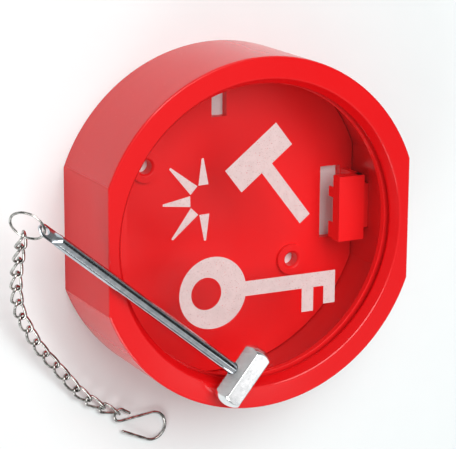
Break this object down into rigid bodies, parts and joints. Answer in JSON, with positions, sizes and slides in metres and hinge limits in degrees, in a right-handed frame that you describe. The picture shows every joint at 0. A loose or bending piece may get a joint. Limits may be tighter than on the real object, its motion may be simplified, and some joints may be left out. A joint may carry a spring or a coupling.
{
  "type": "break-glass key box",
  "caption": "Round red plastic key box with flattened sides and a glass front, with a small chromed breaker hammer resting across its rim and held by a ring, a fine chain and an S-hook.",
  "frame": {"origin": "centre of the box's flat back face, in the plane that lies against the wall or the table", "axes": "+Z out of the back face through the glass front, +Y up when the box hangs on a wall, +X to the right as seen from the front; the two flat sides face -X and +X"},
  "size_m": [0.1454, 0.1412, 0.0477],
  "materials": {
    "red_plastic": "glossy moulded",
    "clear_glass": "clear, with a white key printed on its face",
    "chrome_steel": "bright chrome plate",
    "nickel_wire": "bright nickel plated wire"
  },
  "bodies": {
    "box": {"housing_shell": "red_plastic", "back_plate": "red_plastic", "glass_pane": "clear_glass", "glass_retainer": "red_plastic"},
    "hammer": {"hammer_handle": "chrome_steel", "hammer_head": "chrome_steel"},
    "ring": {"split_ring": "nickel_wire"},
    "link_01": {"chain_link_01": "nickel_wire"},
    "link_02": {"chain_link_02": "nickel_wire"},
    "link_03": {"chain_link_03": "nickel_wire"},
    "link_04": {"chain_link_04": "nickel_wire"},
    "link_05": {"chain_link_05": "nickel_wire"},
    "link_06": {"chain_link_06": "nickel_wire"},
    "link_07": {"chain_link_07": "nickel_wire"},
    "link_08": {"chain_link_08": "nickel_wire"},
    "link_09": {"chain_link_09": "nickel_wire"},
    "link_10": {"chain_link_10": "nickel_wire"},
    "link_11": {"chain_link_11": "nickel_wire"},
    "link_12": {"chain_link_12": "nickel_wire"},
    "link_13": {"chain_link_13": "nickel_wire"},
    "link_14": {"chain_link_14": "nickel_wire"},
    "link_15": {"chain_link_15": "nickel_wire"},
    "hook": {"s_hook": "nickel_wire"}
  },
  "joints": [
    {"name": "hammer_lift", "type": "slide", "parent": "box", "child": "hammer", "axis": [0, 0, 1], "range_m": [0, 0.06]},
    {"name": "ring_swing", "type": "hinge", "parent": "hammer", "child": "ring", "pos_m": [-0.07905, 0.0104, 0.03852], "axis": [0.3906, 0.5283, 0.7539], "range_deg": [-25, 10]},
    {"name": "link_01_swing", "type": "hinge", "parent": "ring", "child": "link_01", "pos_m": [-0.08375, 0.00806, 0.03136], "axis": [0.0693, -0.6034, 0.7944], "range_deg": [-15, 8]},
    {"name": "link_02_swing", "type": "hinge", "parent": "link_01", "child": "link_02", "pos_m": [-0.08315, 0.00285, 0.02735], "axis": [0.9941, 0.1085, 0], "range_deg": [-15, 15]},
    {"name": "link_03_swing", "type": "hinge", "parent": "link_02", "child": "link_03", "pos_m": [-0.08256, -0.00259, 0.02366], "axis": [-0.0547, 0.5235, -0.8503], "range_deg": [-8, 15]},
    {"name": "link_04_swing", "type": "hinge", "parent": "link_03", "child": "link_04", "pos_m": [-0.08198, -0.00817, 0.02018], "axis": [-0.985, -0.1727, 0], "range_deg": [-15, 15]},
    {"name": "link_05_swing", "type": "hinge", "parent": "link_04", "child": "link_05", "pos_m": [-0.08098, -0.01386, 0.01699], "axis": [0.105, -0.4184, 0.9022], "range_deg": [-15, 8]},
    {"name": "link_06_swing", "type": "hinge", "parent": "link_05", "child": "link_06", "pos_m": [-0.07953, -0.01964, 0.01414], "axis": [0.9348, 0.3552, 0], "range_deg": [-15, 15]},
    {"name": "link_07_swing", "type": "hinge", "parent": "link_06", "child": "link_07", "pos_m": [-0.07736, -0.02534, 0.01162], "axis": [-0.1511, 0.2511, -0.9561], "range_deg": [-4, 15]},
    {"name": "link_08_swing", "type": "hinge", "parent": "link_07", "child": "link_08", "pos_m": [-0.07411, -0.03075, 0.00969], "axis": [-0.8664, -0.4993, 0], "range_deg": [-15, 15]},
    {"name": "link_09_swing", "type": "hinge", "parent": "link_08", "child": "link_09", "pos_m": [-0.07095, -0.03623, 0.00782], "axis": [0.1301, -0.1725, 0.9764], "range_deg": [-15, 8]},
    {"name": "link_10_swing", "type": "hinge", "parent": "link_09", "child": "link_10", "pos_m": [-0.06707, -0.04138, 0.0064], "axis": [0.755, 0.6558, 0], "range_deg": [-15, 15]},
    {"name": "link_11_swing", "type": "hinge", "parent": "link_10", "child": "link_11", "pos_m": [-0.06281, -0.04628, 0.00524], "axis": [-0.0901, 0.1109, -0.9897], "range_deg": [-15, 15]},
    {"name": "link_12_swing", "type": "hinge", "parent": "link_11", "child": "link_12", "pos_m": [-0.05869, -0.05135, 0.00429], "axis": [-0.7873, -0.6165, 0], "range_deg": [-15, 15]},
    {"name": "link_13_swing", "type": "hinge", "parent": "link_12", "child": "link_13", "pos_m": [-0.05465, -0.05651, 0.00355], "axis": [0.0705, -0.0676, 0.9952], "range_deg": [-15, 15]},
    {"name": "link_14_swing", "type": "hinge", "parent": "link_13", "child": "link_14", "pos_m": [-0.04991, -0.06106, 0.0029], "axis": [0.5784, 0.8157, 0], "range_deg": [-15, 15]},
    {"name": "link_15_swing", "type": "hinge", "parent": "link_14", "child": "link_15", "pos_m": [-0.04454, -0.06487, 0.00238], "axis": [-0.0357, 0.0189, -0.9992], "range_deg": [-15, 15]},
    {"name": "hook_swing", "type": "hinge", "parent": "link_15", "child": "hook", "pos_m": [-0.03871, -0.06795, 0.00211], "axis": [-0.0357, 0.0189, -0.9992], "range_deg": [-15, 15]}
  ]
}
